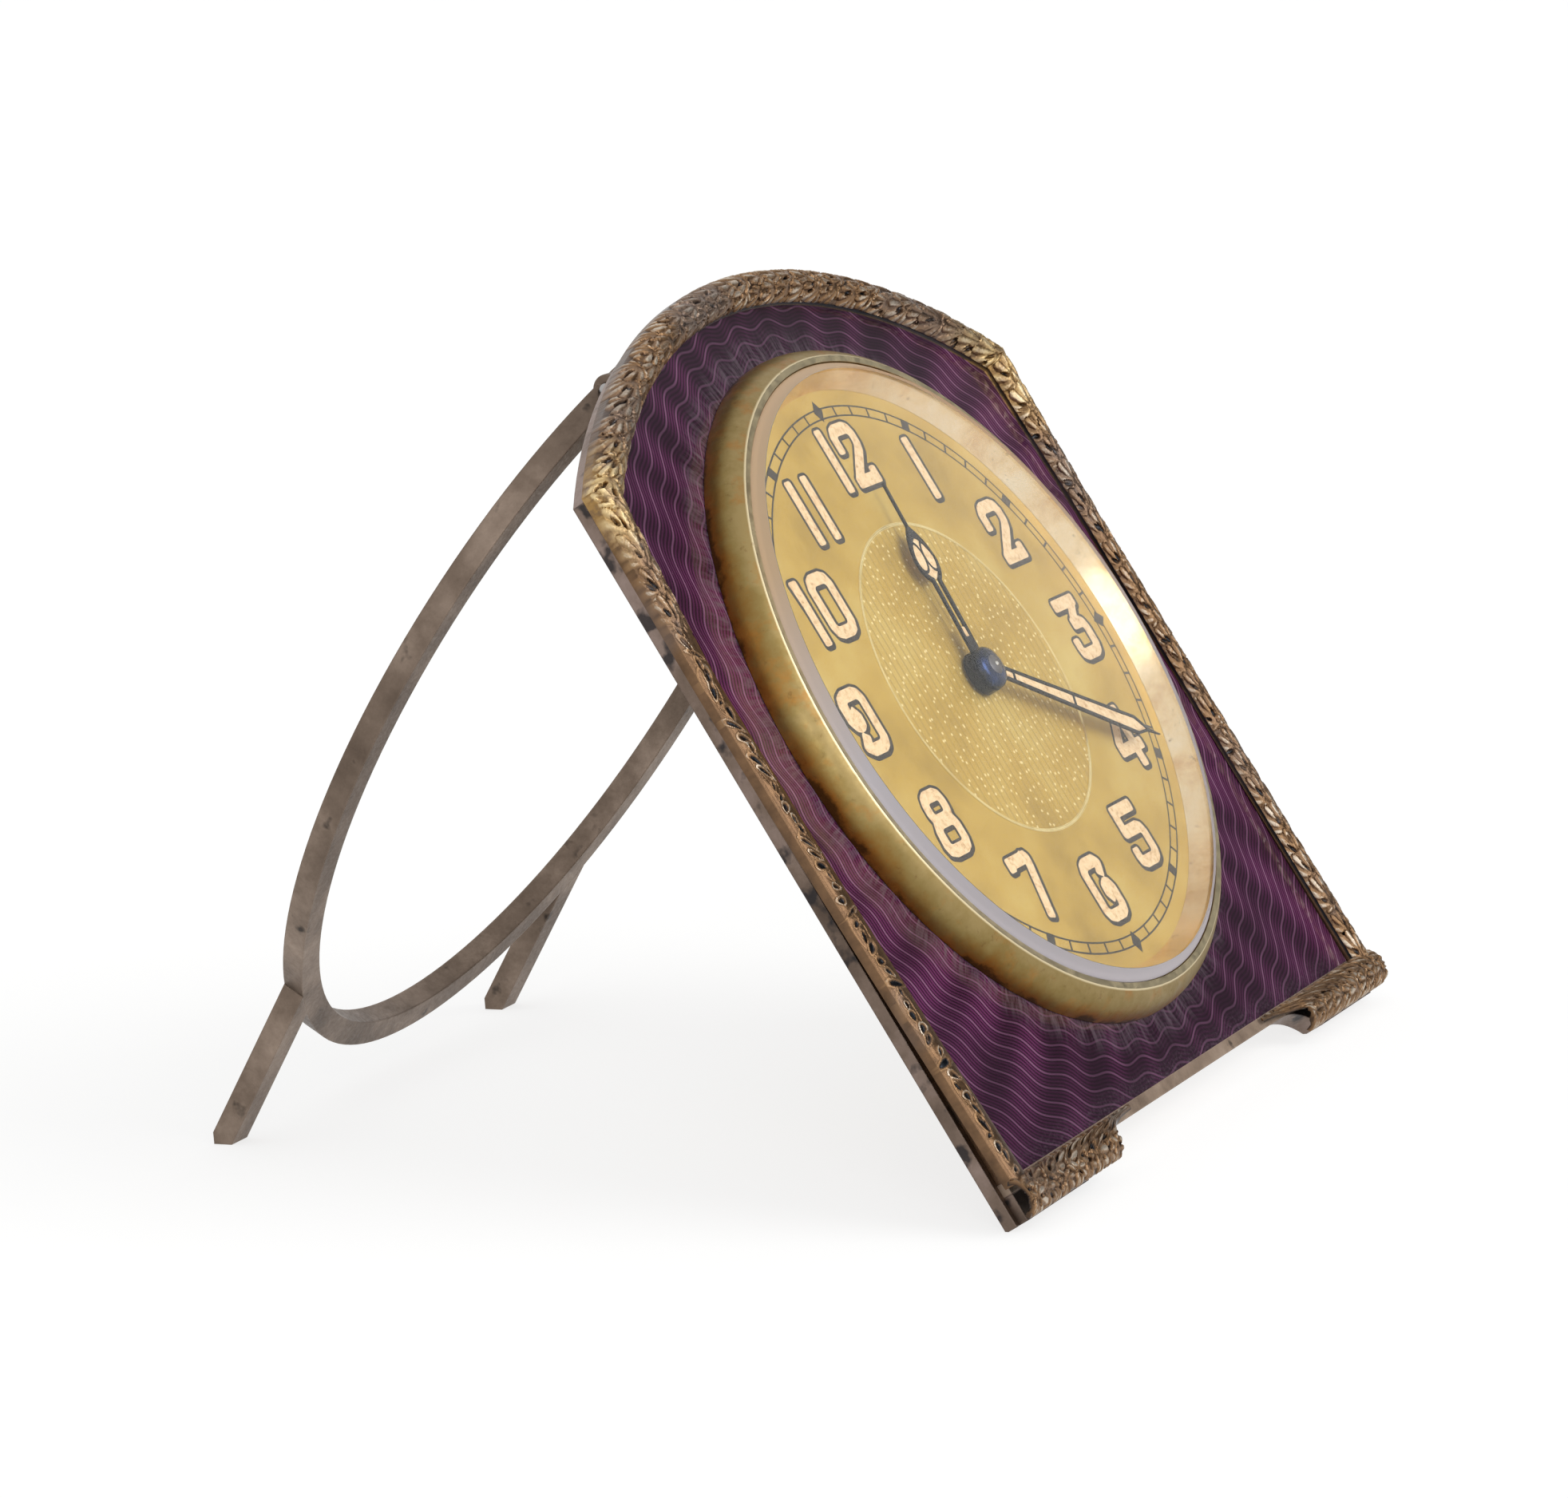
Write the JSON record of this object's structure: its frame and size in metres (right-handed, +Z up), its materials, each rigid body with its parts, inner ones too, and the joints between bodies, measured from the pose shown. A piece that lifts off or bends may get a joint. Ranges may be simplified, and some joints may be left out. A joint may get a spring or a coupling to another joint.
{
  "type": "strut clock",
  "caption": "Small arched table clock with an enamel front, chased rim mouldings, a round gilt bezel and dial, a wound movement with setting knob, and a folding hoop strut.",
  "frame": {"origin": "middle of the bounding box's base, on the table", "axes": "+Z up, the dial faces -Y, X runs along the plate's width"},
  "size_m": [0.0778, 0.0818, 0.0695],
  "materials": {
    "silver": "tarnished silver sheet",
    "chased_silver": "pressed and chased silver, tarnished brown in the recesses",
    "strut_silver": "dull tarnished silver bar",
    "board": "matt board",
    "enamel": "translucent purple enamel over wavy engine turning",
    "gilt": "gilt brass, polished",
    "crystal": "clear domed glass with a bevelled edge",
    "dial": "matt grained gilt",
    "brass": "brushed brass",
    "steel": "polished steel",
    "blued_steel": "blued steel"
  },
  "bodies": {
    "case": {"back_plate": "silver", "arch_band": "silver", "left_band": "silver", "right_band": "silver", "base_rail": "silver", "left_foot": "silver", "right_foot": "silver", "backing_board": "board", "enamel_panel": "enamel", "arch_moulding": "chased_silver", "left_moulding": "chased_silver", "right_moulding": "chased_silver", "left_foot_moulding": "chased_silver", "right_foot_moulding": "chased_silver", "bezel": "gilt", "crystal": "crystal", "case_cup": "brass", "retaining_ring": "brass", "back_cover": "gilt", "dial": "dial", "dial_spacer": "brass", "main_plate": "brass", "top_plate": "brass", "pillars": "brass", "pillar_screws": "blued_steel", "hairspring": "blued_steel", "hinge_knuckle": "strut_silver", "hinge_pin": "steel"},
    "strut": {"strut_hoop": "strut_silver", "left_strut_leg": "strut_silver", "right_strut_leg": "strut_silver"},
    "centre": {"centre_arbor": "steel", "centre_wheel": "brass", "cannon_pinion": "steel", "minute_hand": "blued_steel", "set_knob": "gilt"},
    "hour": {"hour_wheel": "brass", "hour_hand": "blued_steel"},
    "minute_work": {"minute_wheel": "brass"},
    "intermediate": {"intermediate_arbor": "steel", "intermediate_wheel": "brass"},
    "barrel_drum": {"barrel": "brass", "barrel_cover": "brass", "mainspring": "blued_steel"},
    "third": {"third_arbor": "steel", "third_wheel": "brass"},
    "fourth": {"fourth_arbor": "steel", "fourth_wheel": "brass"},
    "escape": {"escape_arbor": "steel", "escape_wheel": "steel"},
    "winding": {"barrel_arbor": "steel", "ratchet_wheel": "steel", "winding_key": "gilt"},
    "click": {"click": "steel"},
    "pallet": {"pallet_lever": "steel"},
    "balance": {"balance_wheel": "brass", "balance_staff": "steel"}
  },
  "joints": [
    {"name": "strut_fold", "type": "hinge", "parent": "case", "child": "strut", "pos_m": [0, 0.00051, 0.06273], "axis": [-1, 0, 0], "range_deg": [0, 62.4]},
    {"name": "hand_setting", "type": "hinge", "parent": "case", "child": "centre", "pos_m": [0, -0.02043, 0.03556], "axis": [0, 0.866, -0.5], "continuous": true},
    {"name": "hour_turn", "type": "hinge", "parent": "case", "child": "hour", "pos_m": [0, -0.02043, 0.03556], "axis": [0, 0.866, -0.5], "continuous": true},
    {"name": "minute_wheel_turn", "type": "hinge", "parent": "case", "child": "minute_work", "pos_m": [0.002, -0.0187, 0.03856], "axis": [0, 0.866, -0.5], "continuous": true},
    {"name": "intermediate_turn", "type": "hinge", "parent": "case", "child": "intermediate", "pos_m": [0.00569, -0.02303, 0.03107], "axis": [0, 0.866, -0.5], "continuous": true},
    {"name": "barrel_turn", "type": "hinge", "parent": "case", "child": "barrel_drum", "pos_m": [0.00996, -0.01862, 0.0387], "axis": [0, 0.866, -0.5], "continuous": true},
    {"name": "third_turn", "type": "hinge", "parent": "case", "child": "third", "pos_m": [-0.00592, -0.01872, 0.03852], "axis": [0, 0.866, -0.5], "continuous": true},
    {"name": "fourth_turn", "type": "hinge", "parent": "case", "child": "fourth", "pos_m": [-0.01001, -0.02076, 0.03499], "axis": [0, 0.866, -0.5], "continuous": true},
    {"name": "escape_turn", "type": "hinge", "parent": "case", "child": "escape", "pos_m": [-0.00909, -0.02336, 0.03048], "axis": [0, 0.866, -0.5], "continuous": true},
    {"name": "winding", "type": "hinge", "parent": "case", "child": "winding", "pos_m": [0.00996, -0.01862, 0.0387], "axis": [0, -0.866, 0.5], "range_deg": [0, 1800]},
    {"name": "click_lift", "type": "hinge", "parent": "case", "child": "click", "pos_m": [0.00777, -0.01561, 0.04391], "axis": [0, -0.866, 0.5], "range_deg": [0, 10]},
    {"name": "pallet_rock", "type": "hinge", "parent": "case", "child": "pallet", "pos_m": [-0.00724, -0.02497, 0.02771], "axis": [0, 0.866, -0.5], "range_deg": [-5, 5]},
    {"name": "balance_swing", "type": "hinge", "parent": "case", "child": "balance", "pos_m": [-0.0019, -0.02621, 0.02555], "axis": [0, 0.866, -0.5], "range_deg": [-135, 135]}
  ],
  "couplings": [
    {"joint": "hour_turn", "follows": "hand_setting", "ratio": 0.083333},
    {"joint": "minute_wheel_turn", "follows": "hand_setting", "ratio": -0.33333},
    {"joint": "intermediate_turn", "follows": "hand_setting", "ratio": -0.16667},
    {"joint": "barrel_turn", "follows": "hand_setting", "ratio": 0.027778},
    {"joint": "third_turn", "follows": "hand_setting", "ratio": -8},
    {"joint": "fourth_turn", "follows": "hand_setting", "ratio": 60},
    {"joint": "escape_turn", "follows": "hand_setting", "ratio": -600}
  ]
}
